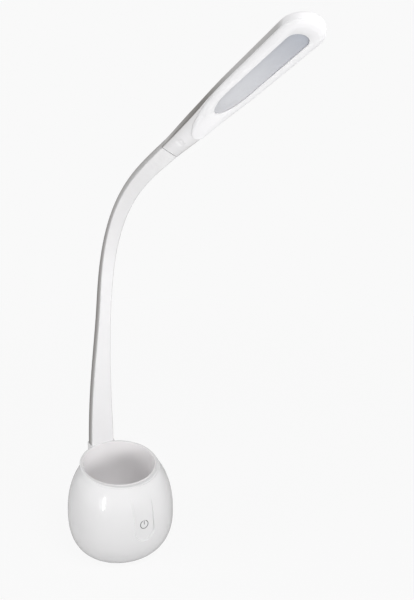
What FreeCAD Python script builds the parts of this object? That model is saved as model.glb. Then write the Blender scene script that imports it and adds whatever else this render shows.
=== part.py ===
import FreeCAD, Part
import math
import os
from FreeCAD import Matrix, Placement, Rotation, Vector

# Desk lamp with an open pen cup in its egg-shaped base, a bendable flat neck and a slim LED head.
# Origin: centre of the foot, on the table. +Z up, the touch panel and the head face -Y.

# ---------------------------------------------------------------- base, egg-shaped shell
belly_swell = 15.0             # how far the belly stands out beyond the collar
belly_height = 42.0
foot_radius = 29.6
foot_roundness = 2.42          # power of the curve from the foot up to the belly
egg_top_rise = 18.0            # height above the mouth at which the egg would close
crown_roundness = 2.3
mouth_height = 97.0            # on the axis
mouth_slope = math.radians(9.0)
collar_rise = 1.0              # upright collar's start above the mouth's middle
shoulder_drop = 11.0           # last knot of the outline below it
upper_knot = 68.0              # heights where the arcs of the egg's outline meet
lower_knots = [20.0, 7.0]
shell_wall = 1.8

# pen cup
cup_mouth_radius = 37.8
cup_floor_radius = 33.6
cup_floor_height = 46.0
cup_wall = 1.2
cup_corner = 6.0
cup_gap = 0.2                  # between the cup and the shell's bore

# touch panel, a shallow U on the front
panel_half_width = 11.0
panel_bottom = 33.5
panel_top = 88.0
panel_depth = 1.7
icon_height = 51.0
icon_radius = 4.6
icon_stroke = 0.7
icon_thickness = 0.3

# base plate, foot, ballast
plate_wall = 2.2
plate_lift = 0.8               # plate's underside above the table
foot_pad_radius = 33.5
foot_pad_sink = 0.8            # how deep the rubber pad sits in the plate
spigot_height = 2.5            # of the ring that locates the plate in the shell
spigot_wall = 1.4
fit_gap = 0.15
boss_radius = 3.0
boss_circle = 30.0
boss_height = 16.0
boss_pad = 1.0                 # plate's pad under each boss
boss_angles = [45, 135, 225, 315]
boss_thread = 10.0             # depth of the threaded holes in the bosses
gusset_half = 0.8
plate_post_radius = 2.8
ballast_post_height = 9.0
ballast_post_floor = 2.0       # of the threaded hole, above the plate
ballast_radius = 25.0
ballast_height = 16.0
ballast_screw_circle = 17.0
cell_radius = 9.2
cell_length = 65.0
holder_wall = 1.6
holder_height = 12.0
holder_window = 7.0            # height of the window's sill in its sides
holder_ear_radius = 5.0
cell_gap = 0.2

# boards and socket
board_thickness = 1.6
touch_board_width = 28.0
touch_board_height = 26.0
touch_board_gap = 5.7          # from the panel's inner wall back to the board
touch_board_low = 36.0
board_screw_inset = 3.0        # of a board's screws from its edges
board_thread = 5.0             # depth of the threaded holes for the boards' screws
touch_post_radius = 2.4
anchor_post_radius = 3.0
touch_contact_radius = 5.0
touch_contact_gap = 1.0
driver_board_width = 24.0
driver_board_length = 17.0
driver_board_height = 14.0
driver_board_gap = 0.3         # between its back corners and the shell
socket_width = 7.6
socket_tall = 2.8
socket_length = 7.0
socket_recess = 2.1            # of its mouth inside the egg's skin
socket_skin = 0.4
plug_height = 3.0              # of the leads' plug on the driver board
plug_half = 1.6
plug_place = 10.6              # of its middle from the board's front edge
coil_radius = 2.6
coil_height = 2.4
chip_half = 4.0
chip_height = 1.2
plate_screw_length = 8.0

# ---------------------------------------------------------------- neck
neck_length = 397.0            # from the mouth's height to the head seam
neck_cup_gap = 0.5             # from the cup's bore back to the neck's front at the mouth
neck_root_width = 26.6
neck_width = 15.0
neck_thickness = 9.0
neck_corner = 3.2
taper_end = 0.45               # share of the length over which the width tapers
root_lean = math.radians(3.1)  # the neck's lean from the vertical, forwards
low_lean = math.radians(11.6)
top_lean = math.radians(65.25)
low_bend_length = 146.0
top_bend_start = 158.0
top_bend_length = 222.6
head_roll = math.radians(17.5)  # turn of the head about the neck's end
bend_count = 6
boot_rise = 10.0               # where the sleeve's first free length starts
sleeve_top_length = 27.0       # of sleeve between the last bend's length and the head
sleeve_step = 15.0             # length of sleeve between two lofted sections
boot_depth = 20.0              # how far the sleeve's foot goes down into the shell
socket_wall = 1.0
socket_front_wall = 1.2        # least wall kept between the socket and the cup's bore

# hose inside the sleeve, one length per bend
hose_radius = 3.0
hose_bore = 1.45
ferrule_radius = 3.3
nose_bore = 1.2
sleeve_gap = 0.35
nose_radius = 2.7
nose_gap = 0.15
throat_radius = 1.8
throat_length = 4.0
cup_lip = 0.1                  # how far a ferrule's lip reaches past the bend's centre
hose_tail = 42.0               # length of hose below the mouth's height
hose_flange = 4.6
hose_slack = 0.05              # between the hose and what clamps it
lead_radius = 0.9
splice_wall = 0.15             # of the shrink sleeve over two leads' joint
splice_length = 4.0
anchor_width = 25.0
anchor_depth = 6.5
anchor_split = 1.6             # from the hose's middle back to the anchor's rear face
saddle_half = 5.0
anchor_height = 13.0
anchor_drop = 25.0             # of its top below the mouth
anchor_screw_spread = 8.5

# ---------------------------------------------------------------- head
head_length = 186.0
head_tip_width = 29.8
head_mid_width = 27.8
head_mid = 102.0               # where the stem has grown to head_mid_width
side_half = 2.15               # half the height of the head's side wall
crown_rise = 1.3               # top face above the side wall
thin_end = 70.0                # where the stem has thinned to the side wall
cover_wall = 1.4
top_round = 2.0
bezel_rise = 2.65
bezel_flank = 4.6
bezel_start = 27.0
bezel_end_length = 30.0
bezel_wall = 1.4
seam_gap = 0.15
lens_start = 70.8
lens_end = 174.6
lens_width = 15.0
lens_point = 32.6              # length of the lens's narrowing near end
lens_sink = 0.7
lens_flange = 1.0
lens_flange_thickness = 1.0
led_board_gap = 0.9            # between the LED board and the lens outline
rib_radius = 1.6
led_board_thickness = 1.0
led_rows = 2
led_count = 9
led_row_pitch = 6.4
led_size = 2.6
led_height = 0.7
reflector_wall = 0.8
bush_radius = 2.9
bush_length = 25.0
hose_tip_radius = 2.2
hose_tip_length = 11.0
dimple_place = 20.0
dimple_radius = 4.0
dimple_depth = 0.7

# small screws
screw_radius = 1.2
screw_head_radius = 2.4
screw_head_height = 1.4
slot_half = 0.35               # half the width of a screw's slot
thread_hole = screw_radius + 0.05

collar_radius = cup_mouth_radius + cup_wall + cup_gap + shell_wall
belly_radius = collar_radius + belly_swell
crown_height = mouth_height + egg_top_rise - belly_height
collar_start = mouth_height + collar_rise
upper_knots = [upper_knot, mouth_height - shoulder_drop]
plate_top = plate_lift + plate_wall
neck_root_back = collar_radius - shell_wall + neck_cup_gap + neck_thickness / 2
bend_pitch = (neck_length - boot_rise - sleeve_top_length) / bend_count
bend_places = [boot_rise + bend_pitch * (i + 0.5) for i in range(bend_count)]

X = Vector(1, 0, 0)
Y = Vector(0, 1, 0)
Z = Vector(0, 0, 1)
big = 400.0


def ease(t):
    """Smooth step from 0 to 1."""
    t = min(max(t, 0.0), 1.0)
    return t * t * (3 - 2 * t)


def spline(points, start=None, end=None):
    curve = Part.BSplineCurve()
    if start is None:
        curve.interpolate(points)
    else:
        curve.interpolate(Points=points, InitialTangent=start, FinalTangent=end)
    return curve.toShape()


def line(a, b):
    return Part.LineSegment(a, b).toShape()


def arc(a, b, c):
    return Part.Arc(a, b, c).toShape()


def face(edges):
    return Part.Face(Part.Wire(Part.__sortEdges__(edges)))


def turn(edges):
    """Solid of revolution about Z of a closed outline in the XZ plane."""
    return face(edges).revolve(Vector(), Z, 360)


def cylinder(radius, length, at, along=Z):
    return Part.makeCylinder(radius, length, at, along)


def box(x0, x1, y0, y1, z0, z1):
    return Part.makeBox(x1 - x0, y1 - y0, z1 - z0, Vector(x0, y0, z0))


def fuse(first, *rest):
    return first.multiFuse(list(rest)).removeSplitter()


def screw(at, along, length, head_radius=screw_head_radius, head=screw_head_height, radius=screw_radius):
    """Slotted screw with the underside of its head at a point, its shank pointing along a direction."""
    solid = fuse(cylinder(radius, length, Z * -length), cylinder(head_radius, head, Vector()))
    solid = solid.cut(box(-head_radius, head_radius, -slot_half, slot_half, head / 2, head))
    solid.Placement = Placement(at, Rotation(-Z, Vector(along)))
    return solid


# ---------------------------------------------------------------- the egg's profile
def egg_radius(z):
    if z < belly_height:
        rise = 1 - (1 - z / belly_height) ** foot_roundness
        return foot_radius + (belly_radius - foot_radius) * math.sqrt(max(rise, 0.0))
    rise = ((z - belly_height) / crown_height) ** crown_roundness
    return belly_radius * math.sqrt(max(1 - rise, 0.0))


def inset_radius(z, depth):
    """Radius of the surface that lies a depth inside the egg, measured square to the wall."""
    step = 0.5
    slope = (egg_radius(z + step) - egg_radius(z - step)) / (2 * step)
    return egg_radius(z) - depth * math.sqrt(1 + slope * slope)


def tangent_arcs(points, way):
    """Chain of arcs through points, each starting in the direction in which the last one ended."""
    edges = []
    for a, b in zip(points, points[1:]):
        chord = (b - a).normalize()
        aside = way - chord * way.dot(chord)
        sag = (b - a).Length / 2 * math.tan(way.getAngle(chord) / 2)
        edges.append(arc(a, (a + b) * 0.5 + aside.normalize() * sag, b))
        way = chord * (2 * way.dot(chord)) - way
    return edges


def profile_edges(depth, low, top):
    """Outline of the egg from a low height up to the collar, a depth inside the outer skin."""
    belly = Vector(belly_radius - depth, 0, belly_height)
    upper = [Vector(inset_radius(z, depth), 0, z) for z in upper_knots]
    lower = [Vector(inset_radius(z, depth), 0, z) for z in lower_knots + [low]]
    upper.append(Vector(collar_radius - depth, 0, collar_start))
    if depth:
        chain = [belly] + upper
        edges = [line(a, b) for a, b in zip(chain, chain[1:])]
        chain = [belly] + lower
        edges += [line(a, b) for a, b in zip(chain, chain[1:])]
    else:
        edges = tangent_arcs([belly] + upper, Z) + tangent_arcs([belly] + lower, -Z)
    return edges + [line(upper[-1], Vector(collar_radius - depth, 0, top))], lower[-1]


def egg_solid(depth, low, top):
    edges, start = profile_edges(depth, low, top)
    bottom = line(Vector(0, 0, low), start)
    lid = line(Vector(collar_radius - depth, 0, top), Vector(0, 0, top))
    axis = line(Vector(0, 0, top), Vector(0, 0, low))
    return turn(edges + [bottom, lid, axis])


def above_mouth():
    """Everything above the sloping plane of the mouth."""
    block = Part.makeBox(big, big, big, Vector(-big / 2, -big / 2, 0))
    block.rotate(Vector(), X, math.degrees(mouth_slope))
    block.translate(Z * mouth_height)
    return block


# ---------------------------------------------------------------- the neck's centre line
def lean_at(s):
    low = (low_lean - root_lean) * ease(s / low_bend_length)
    top = (top_lean - low_lean) * ease((s - top_bend_start) / top_bend_length)
    return root_lean + low + top


def neck_path(start, end, step=0.5):
    """Centre line as a list of (s, point), followed from the mouth's height both ways."""
    path = {0.0: Vector(0, neck_root_back, mouth_height)}
    for way, stop in ((1, end), (-1, start)):
        s = 0.0
        point = path[0.0]
        while (stop - s) * way > 1e-6:
            lean = lean_at(s + way * step / 2)
            point = point + Vector(0, -math.sin(lean), math.cos(lean)) * (way * step)
            s += way * step
            path[round(s, 3)] = point
    return path


neck_line = neck_path(-hose_tail - 2 * splice_length, neck_length + sleeve_top_length)


def neck_point(s):
    near = round(math.floor(s * 2) / 2, 3)
    a = neck_line[near]
    b = neck_line[round(near + 0.5, 3)]
    return a + (b - a) * ((s - near) * 2)


def roll_at(s):
    share = (s / neck_length - taper_end) / (1 - taper_end)
    return head_roll * min(max(share, 0.0), 1.0)


def neck_axes(s):
    """Across, along and front directions of the neck at a distance along it."""
    lean = lean_at(s)
    along = Vector(0, -math.sin(lean), math.cos(lean))
    front = Vector(0, -math.cos(lean), -math.sin(lean))
    roll = roll_at(s)
    across = X * math.cos(roll) + front * math.sin(roll)
    front = front * math.cos(roll) - X * math.sin(roll)
    return across, along, front


def neck_frame(s):
    """Placement with local X across, Y along and Z out of the neck's front."""
    across, along, front = neck_axes(s)
    at = neck_point(s)
    return Placement(Matrix(across.x, along.x, front.x, at.x, across.y, along.y, front.y, at.y,
                            across.z, along.z, front.z, at.z, 0, 0, 0, 1))


def width_at(s):
    share = ease(s / (taper_end * neck_length))
    return neck_root_width + (neck_width - neck_root_width) * share


def rounded_section(width, thickness, corner):
    """Rounded rectangle in the local XZ plane, as a wire of four lines and four arcs."""
    a, b, r = width / 2, thickness / 2, corner
    d = r * (1 - math.sqrt(0.5))
    edges = []
    for sx, sz in ((1, 1), (-1, 1), (-1, -1), (1, -1)):
        side = Vector(sx * a, 0, sz * (b - r))
        mid = Vector(sx * (a - d), 0, sz * (b - d))
        top = Vector(sx * (a - r), 0, sz * b)
        ends = (side, top) if sx * sz > 0 else (top, side)
        edges.append(arc(ends[0], mid, ends[1]))
    wire = []
    for i, edge in enumerate(edges):
        wire.append(edge)
        wire.append(line(edge.Vertexes[1].Point, edges[(i + 1) % 4].Vertexes[0].Point))
    return Part.Wire(wire)


def sleeve_section(s, grow=0.0):
    wire = rounded_section(width_at(s) + 2 * grow, neck_thickness + 2 * grow, neck_corner + grow)
    wire.Placement = neck_frame(s)
    return wire


def neck_tube(start, end, radius):
    """Round rod that follows the centre line as one arc, or straight where the line hardly bends."""
    first, middle, last = neck_point(start), neck_point((start + end) / 2), neck_point(end)
    chord = last - first
    sag = (middle - (first + last) * 0.5).Length
    if sag < 0.03:
        return cylinder(radius, chord.Length, first, chord)
    bend = Part.Circle(first, middle, last)
    start_way = bend.Axis.cross(first - bend.Center)
    disc = Part.Face(Part.Wire(Part.makeCircle(radius, first, start_way)))
    angle = (first - bend.Center).getAngle(last - bend.Center)
    return disc.revolve(bend.Center, bend.Axis, math.degrees(angle))


# ---------------------------------------------------------------- base sub-parts
def panel_curve(depth, reach=0.0):
    """Side view of the touch panel: the egg's front line set in by a depth that fades out at the top."""
    low, top = panel_bottom - 6, panel_top
    points = []
    for i in range(7):
        z = low + (top - low) * i / 6
        fade = ease((top - z) / (0.7 * (top - panel_bottom)))
        points.append(Vector(0, -(egg_radius(z) - depth * fade - reach), z))
    return points


def panel_prism(points, half_width, low):
    """What lies in front of a panel curve, within the panel's U outline."""
    outline = [line(points[-1], Vector(0, -big / 4, points[-1].z)),
               line(Vector(0, -big / 4, points[-1].z), Vector(0, -big / 4, points[0].z)),
               line(Vector(0, -big / 4, points[0].z), points[0]), spline(points)]
    slab = face(outline).extrude(X * 2 * half_width)
    slab.translate(X * -half_width)
    centre = low + half_width
    u_shape = face([arc(Vector(-half_width, 0, centre), Vector(0, 0, low), Vector(half_width, 0, centre)),
                    line(Vector(half_width, 0, centre), Vector(half_width, 0, big)),
                    line(Vector(half_width, 0, big), Vector(-half_width, 0, big)),
                    line(Vector(-half_width, 0, big), Vector(-half_width, 0, centre))])
    return slab.common(u_shape.extrude(Y * -big / 2))


def inner_wall(z):
    return inset_radius(z, shell_wall)


def shell_bosses():
    """Screw bosses for the base plate, each tied to the wall by a gusset above the plate's spigot."""
    pieces = []
    low = plate_top + boss_pad
    web_low = plate_top + spigot_height + fit_gap
    for angle in boss_angles:
        post = cylinder(boss_radius, boss_height - low, Vector(boss_circle, 0, low))
        web = box(boss_circle, inner_wall(boss_height) + 1, -gusset_half, gusset_half, web_low, boss_height)
        piece = fuse(post, web)
        piece.rotate(Vector(), Z, angle)
        pieces.append(piece)
    return pieces


def touch_board_front():
    """Distance of the touch board's front face from the axis."""
    return egg_radius(icon_height) - panel_depth - shell_wall - touch_board_gap


def touch_post_spots():
    spread = touch_board_width / 2 - board_screw_inset
    low = touch_board_low + board_screw_inset
    return [Vector(sx * spread, -touch_board_front(), low) for sx in (-1, 1)]


def anchor_centre():
    return neck_point(-anchor_drop - anchor_height / 2)


def anchor_back():
    """The face where the anchor meets the shell's posts and saddle, just behind the hose's middle."""
    return anchor_centre().y + anchor_split


def anchor_spots():
    """Where the anchor's two screws enter the posts at its back."""
    return [Vector(sx * anchor_screw_spread, anchor_back(), anchor_centre().z) for sx in (-1, 1)]


def hose_hole():
    return cylinder(hose_radius + hose_slack, hose_tail, neck_point(-hose_tail), neck_axes(-hose_tail)[1])


def anchor_saddle():
    """Pad on the shell's inside that the anchor clamps the hose against."""
    centre = anchor_centre()
    pad = box(-saddle_half, saddle_half, anchor_back(), belly_radius,
              centre.z - anchor_height / 2, centre.z + anchor_height / 2)
    return pad.cut(hose_hole())


def neck_socket():
    """Raised socket behind the mouth that the sleeve's foot stands in."""
    grow = socket_wall + fit_gap
    outer = sleeve_section(0, grow)
    along = neck_axes(0)[1]
    solid = Part.Face(outer).extrude(along * big)
    solid.translate(along * -(boot_depth + 2))
    return solid


def neck_slot():
    """Hole for the sleeve's foot, open to the cup's bore where the wall between them would be too thin."""
    along = neck_axes(0)[1]
    hole = Part.Face(sleeve_section(0, fit_gap)).extrude(along * big)
    hole.translate(along * -(boot_depth + hose_radius))
    bore = collar_radius - shell_wall
    front = neck_root_back - neck_thickness / 2 - fit_gap - socket_front_wall
    half = math.sqrt(max(bore ** 2 - front ** 2, 1.0))
    return hole.fuse(box(-half, half, front, neck_root_back, mouth_height - boot_depth, big))


def socket_centre_height():
    return driver_board_height + board_thickness + socket_tall / 2


def socket_back():
    """Distance of the charging socket's mouth behind the axis."""
    return egg_radius(socket_centre_height()) - socket_recess


def socket_opening():
    tall = socket_tall + 1.4
    wire = rounded_section(socket_width + 1.4, tall, tall / 2 - 0.05)
    hole = Part.Face(wire).extrude(Y * big)
    hole.translate(Vector(0, socket_back() - 2, socket_centre_height()))
    return hole


def cup_bore():
    return cylinder(collar_radius - shell_wall, big, Z * cup_floor_height)


def icon_outline():
    """Open ring with a bar in its gap, as a prism along Y."""
    ring = cylinder(icon_radius, big, Vector(0, 0, icon_height), -Y)
    ring = ring.cut(cylinder(icon_radius - icon_stroke, big, Vector(0, 0, icon_height), -Y))
    gap = box(-icon_radius / 3, icon_radius / 3, -big, 0, icon_height, icon_height + 2 * icon_radius)
    bar = box(-icon_stroke / 2, icon_stroke / 2, -big, 0, icon_height, icon_height + icon_radius)
    return ring.cut(gap).fuse(bar)


def touch_icon():
    front = panel_prism(panel_curve(panel_depth), panel_half_width, panel_bottom)
    behind = panel_prism(panel_curve(panel_depth, icon_thickness), panel_half_width, panel_bottom)
    return behind.cut(front).common(icon_outline())


def base_shell():
    cavity = egg_solid(shell_wall, plate_top - 1, big / 2)
    pad = panel_prism(panel_curve(panel_depth, shell_wall), panel_half_width + shell_wall,
                      panel_bottom - shell_wall)
    solid = egg_solid(0, plate_top, mouth_height + 30).cut(cavity.cut(pad))
    posts = [cylinder(touch_post_radius, belly_radius, spot, -Y) for spot in touch_post_spots()]
    posts += [cylinder(anchor_post_radius, belly_radius, spot, Y) for spot in anchor_spots()]
    skin = egg_solid(shell_wall / 2, plate_top, mouth_height + 20)
    inner = [piece.common(skin) for piece in shell_bosses() + posts + [anchor_saddle()]]
    solid = solid.multiFuse(inner + [neck_socket().cut(cup_bore())])
    recess = panel_prism(panel_curve(panel_depth), panel_half_width, panel_bottom)
    for tool in (recess, above_mouth(), neck_slot(), socket_opening(), touch_icon()):
        solid = solid.cut(tool)
    for angle in boss_angles:
        hole = cylinder(thread_hole, boss_thread, Vector(boss_circle, 0, plate_top))
        hole.rotate(Vector(), Z, angle)
        solid = solid.cut(hole)
    for spot in touch_post_spots():
        solid = solid.cut(cylinder(thread_hole, board_thread - 0.5, spot, -Y))
    for spot in anchor_spots():
        solid = solid.cut(cylinder(thread_hole, 3.2, spot, Y))
    return solid.removeSplitter()


def cup_outline(grow, floor, corner, rounded):
    """Half section of the pen cup's inside, or its outside when grown."""
    low_radius = cup_floor_radius + grow
    top = mouth_height + 20
    slope = (cup_mouth_radius - cup_floor_radius) / (mouth_height - cup_floor_height)
    wall = Vector(low_radius + slope * (corner + cup_floor_height - floor), 0, floor + corner)
    bend = Vector(low_radius - corner * 0.293, 0, floor + corner * 0.293)
    flat = Vector(low_radius - corner, 0, floor)
    end = Vector(cup_mouth_radius + grow, 0, mouth_height)
    lip = Vector(cup_mouth_radius + grow, 0, top)
    knee = arc(flat, bend, wall) if rounded else line(flat, wall)
    return turn([line(Vector(0, 0, floor), flat), knee, line(wall, end), line(end, lip),
                 line(lip, Vector(0, 0, top)), line(Vector(0, 0, top), Vector(0, 0, floor))])


def cup_liner():
    outside = cup_outline(cup_wall, cup_floor_height - cup_wall, cup_corner, False)
    inside = cup_outline(0, cup_floor_height, cup_corner, True)
    return outside.cut(inside).cut(above_mouth())


# ---------------------------------------------------------------- plate, foot and what stands on it
def plate_post_spots():
    """Where the ballast screws and the driver board's screws stand."""
    ballast = [Vector(0, sy * ballast_screw_circle, plate_top) for sy in (-1, 1)]
    spread = driver_board_width / 2 - board_screw_inset
    row = driver_board_front() + board_screw_inset
    board = [Vector(sx * spread, row, plate_top) for sx in (-1, 1)]
    return ballast, board


def cavity_radius(z):
    """Radius of the shell's cavity, whose sides are straight between the outline's lower knots."""
    knots = [plate_top - 1] + lower_knots[::-1] + [belly_height]
    for low, high in zip(knots, knots[1:]):
        if z <= high:
            break
    return blend(inset_radius(low, shell_wall), inset_radius(high, shell_wall), (z - low) / (high - low))


def driver_board_front():
    """Distance of the driver board's front edge behind the axis, its back corners being close to the shell."""
    reach = math.sqrt(cavity_radius(driver_board_height) ** 2 - (driver_board_width / 2) ** 2)
    return reach - driver_board_gap - driver_board_length


def base_plate():
    low, high = Vector(0, 0, plate_lift), Vector(0, 0, plate_top)
    edge = [Vector(egg_radius(end.z), 0, end.z) for end in (low, high)]
    solid = turn([line(low, edge[0]), line(*edge), line(edge[1], high), line(high, low)])
    ring_radius = cavity_radius(plate_top) - fit_gap
    ring = cylinder(ring_radius, spigot_height, Z * plate_top)
    ring = ring.cut(cylinder(ring_radius - spigot_wall, spigot_height, Z * plate_top))
    ballast, board = plate_post_spots()
    posts = [cylinder(plate_post_radius, ballast_post_height, spot) for spot in ballast]
    posts += [cylinder(plate_post_radius, driver_board_height - plate_top, spot) for spot in board]
    pads = [cylinder(boss_radius, boss_pad, spot) for spot in boss_spots(plate_top)]
    solid = fuse(solid, ring, *posts, *pads)
    solid = solid.cut(cylinder(foot_pad_radius, foot_pad_sink, Z * plate_lift))
    for spot in boss_spots(plate_lift):
        solid = solid.cut(cylinder(screw_head_radius + fit_gap, plate_wall, spot))
        solid = solid.cut(cylinder(screw_radius + fit_gap, 20, spot))
    for spot in ballast:
        solid = solid.cut(cylinder(thread_hole, ballast_post_height, spot + Z * ballast_post_floor))
    for spot in board:
        hole = cylinder(thread_hole, board_thread, spot + Z * (driver_board_height - plate_top - board_thread))
        solid = solid.cut(hole)
    return solid


def boss_spots(z):
    return [Vector(boss_circle * math.cos(math.radians(a)), boss_circle * math.sin(math.radians(a)), z)
            for a in boss_angles]


def plate_screws():
    return [screw(spot, Z, plate_screw_length) for spot in boss_spots(plate_top)]


def foot_pad():
    return cylinder(foot_pad_radius - fit_gap, plate_lift + foot_pad_sink, Vector())


def ballast_weight():
    disc = cylinder(ballast_radius, ballast_height, Z * plate_top)
    edge = [e for e in disc.Edges if e.BoundBox.ZMin > plate_top + 1 and e.Length > ballast_radius]
    disc = disc.makeChamfer(1.5, edge)
    for spot in plate_post_spots()[0]:
        disc = disc.cut(cylinder(plate_post_radius + 0.3, ballast_height, spot))
    return disc


def holder_floor():
    return plate_top + ballast_height


def cell_axis_height():
    return holder_floor() + holder_wall + cell_gap + cell_radius


def battery_cell():
    can = cylinder(cell_radius, cell_length - 1, Vector(-cell_length / 2, 0, cell_axis_height()), X)
    tip = cylinder(2.6, 1, Vector(cell_length / 2 - 1, 0, cell_axis_height()), X)
    return fuse(can, tip)


def battery_holder():
    """Cradle with a round trough, end walls and two screwed ears."""
    low = holder_floor()
    inside = cell_length / 2 + cell_gap
    reach = inside + holder_wall
    side = cell_radius + cell_gap + holder_wall
    block = box(-reach, reach, -side, side, low, low + holder_height)
    ears = [cylinder(holder_ear_radius, holder_wall, Vector(0, sy * ballast_screw_circle, low)) for sy in (-1, 1)]
    ears.append(box(-holder_ear_radius, holder_ear_radius, -ballast_screw_circle, ballast_screw_circle,
                    low, low + holder_wall))
    trough = cylinder(cell_radius + cell_gap, 2 * inside, Vector(-inside, 0, cell_axis_height()), X)
    window = box(-reach / 2, reach / 2, -side, side, low + holder_window, low + holder_height)
    solid = fuse(block, *ears).cut(trough).cut(window)
    for spot in plate_post_spots()[0]:
        solid = solid.cut(cylinder(screw_radius + fit_gap, 20, spot + Z * (ballast_height - 5)))
    return solid


def ballast_screws():
    lift = ballast_height + holder_wall
    return [screw(spot + Z * lift, -Z, lift - ballast_post_floor - 1) for spot in plate_post_spots()[0]]


def touch_board():
    half = touch_board_width / 2
    front = -touch_board_front()
    high = touch_board_low + touch_board_height
    board = box(-half, half, front, front + board_thickness, touch_board_low, high)
    back = front + board_thickness
    middle = touch_board_low + 0.65 * touch_board_height
    chip = box(-chip_half, chip_half, back, back + chip_height, middle - 0.75 * chip_half, middle + 0.75 * chip_half)
    board = fuse(board, chip)
    for spot in touch_post_spots():
        board = board.cut(cylinder(screw_radius + fit_gap, 6, spot - Y, Y))
    return board


def touch_board_screws():
    length = board_thickness + board_thread - 1
    return [screw(spot + Y * board_thickness, -Y, length) for spot in touch_post_spots()]


def touch_contact():
    """Sprung disc that faces the back of the touch panel, on two legs from the board."""
    front = egg_radius(icon_height) - panel_depth - shell_wall - touch_contact_gap
    at = Vector(0, -front, icon_height)
    disc = cylinder(touch_contact_radius, 0.4, at, Y)
    legs = [cylinder(0.6, front - touch_board_front(), at + X * sx * 3, Y) for sx in (-1, 1)]
    return fuse(disc, *legs)


def driver_board():
    half = driver_board_width / 2
    front = driver_board_front()
    low = driver_board_height + board_thickness
    board = box(-half, half, front, front + driver_board_length, driver_board_height, low)
    coil = cylinder(coil_radius, coil_height, Vector(-half / 2, front + driver_board_length / 2, low))
    middle = front + plug_place
    plug = box(-plug_half, plug_half, middle - plug_half, middle + plug_half, low, low + plug_height)
    board = fuse(board, coil, plug)
    for spot in plate_post_spots()[1]:
        board = board.cut(cylinder(screw_radius + fit_gap, 30, spot))
    return board


def driver_board_screws():
    lift = Z * (driver_board_height - plate_top + board_thickness)
    return [screw(spot + lift, -Z, 5) for spot in plate_post_spots()[1]]


def power_socket():
    """Metal shell of the charging socket, with its tongue."""
    centre = Vector(0, socket_back() - socket_length, socket_centre_height())
    outer = Part.Face(rounded_section(socket_width, socket_tall, 0.8)).extrude(Y * socket_length)
    inner = Part.Face(rounded_section(socket_width - 2 * socket_skin, socket_tall - 2 * socket_skin,
                                      0.5)).extrude(Y * socket_length)
    inner.translate(Y * 1.2)
    tongue = box(-2, 2, 0.6, socket_length - 1, -0.3, 0.3)
    solid = fuse(outer.cut(inner), tongue)
    solid.translate(centre)
    return solid


# ---------------------------------------------------------------- neck sub-parts
def neck_anchor():
    centre = anchor_centre()
    block = box(-anchor_width / 2, anchor_width / 2, anchor_back() - anchor_depth, anchor_back(),
                centre.z - anchor_height / 2, centre.z + anchor_height / 2)
    block = block.cut(hose_hole())
    for spot in anchor_spots():
        face_at = spot - Y * anchor_depth
        block = block.cut(cylinder(screw_radius + fit_gap, anchor_depth, face_at, Y))
        block = block.cut(cylinder(screw_head_radius + fit_gap, screw_head_height + 0.2, face_at, Y))
    return block


def anchor_screws():
    sink = Y * (screw_head_height + 0.2 - anchor_depth)
    return [screw(spot + sink, Y, anchor_depth + 1.2) for spot in anchor_spots()]


def ball(radius, at):
    return Part.makeSphere(radius, at)


def hose_cup(s):
    """Ferrule at the top of a hose length that takes the next one's nose, and the room inside it."""
    along = neck_axes(s)[1]
    centre = neck_point(s)
    room_radius = nose_radius + nose_gap
    block = cylinder(ferrule_radius, throat_length + cup_lip, centre - along * throat_length, along)
    return block, cylinder(room_radius, room_radius + 5, centre - along * room_radius, along)


def hose_nose(s):
    """Round nose at the foot of a hose length, with its narrow throat."""
    along = neck_axes(s)[1]
    throat = cylinder(throat_radius, throat_length + 0.6, neck_point(s), along)
    return ball(nose_radius, neck_point(s)).fuse(throat)


def straight_bore(s, before, after):
    along = neck_axes(s)[1]
    return cylinder(nose_bore, before + after, neck_point(s) - along * before, along)


def hose_link(i):
    """Hose between two bends: a nose at its foot, a ferrule at its top, the last with a tip for the head."""
    foot = bend_places[i]
    last = i + 1 == bend_count
    top = neck_length if last else bend_places[i + 1]
    rod = neck_tube(foot + throat_length, top - (2 * seam_gap if last else nose_radius + 0.5), hose_radius)
    bore = neck_tube(foot + throat_length + 0.8, top - 2, hose_bore)
    if last:
        along = neck_axes(top)[1]
        tip = cylinder(hose_tip_radius, hose_tip_length + 1, neck_point(top) - along, along)
        solid = fuse(rod, hose_nose(foot), tip).cut(straight_bore(top, 3, hose_tip_length + 1))
    else:
        block, room = hose_cup(top)
        solid = fuse(rod, block, hose_nose(foot)).cut(room)
    return solid.cut(bore).cut(straight_bore(foot, nose_radius + 1, throat_length + 1.5))


def hose_root():
    """Length of hose held in the base, with the flange at its foot."""
    foot = neck_point(-hose_tail)
    along = neck_axes(-hose_tail)[1]
    top = bend_places[0]
    block, room = hose_cup(top)
    rod = neck_tube(0.7 - hose_tail, top - nose_radius - 0.5, hose_radius)
    solid = fuse(rod, cylinder(hose_flange, 1.5, foot, along), block).cut(room)
    solid = solid.cut(neck_tube(2.0 - hose_tail, top - 2, hose_bore))
    return solid.cut(straight_bore(-hose_tail, 1, 3))


def sleeve_piece(start, end):
    """Stretch of the soft sleeve, lofted along the neck and bored for the hose."""
    count = math.ceil((end - start) / sleeve_step)
    sections = [sleeve_section(start + (end - start) * i / count) for i in range(count + 1)]
    outer = Part.makeLoft(sections, True, True)
    return outer.cut(neck_tube(start - 1, end + 1, ferrule_radius + sleeve_gap))


def sleeve_boot():
    return sleeve_piece(-boot_depth, bend_places[0] - bend_pitch / 2)


def sleeve_top():
    return sleeve_piece(bend_places[-1] + bend_pitch / 2, neck_length - seam_gap * 2)


def lead_piece(start, end):
    return neck_tube(start, end, lead_radius)


def plug_top():
    return Vector(0, driver_board_front() + plug_place, driver_board_height + board_thickness + plug_height)


def splice(at, along):
    """Shrink sleeve over the joint of two leads, which both end inside it."""
    return cylinder(lead_radius + splice_wall, splice_length, at - along * (splice_length / 2), along)


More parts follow.
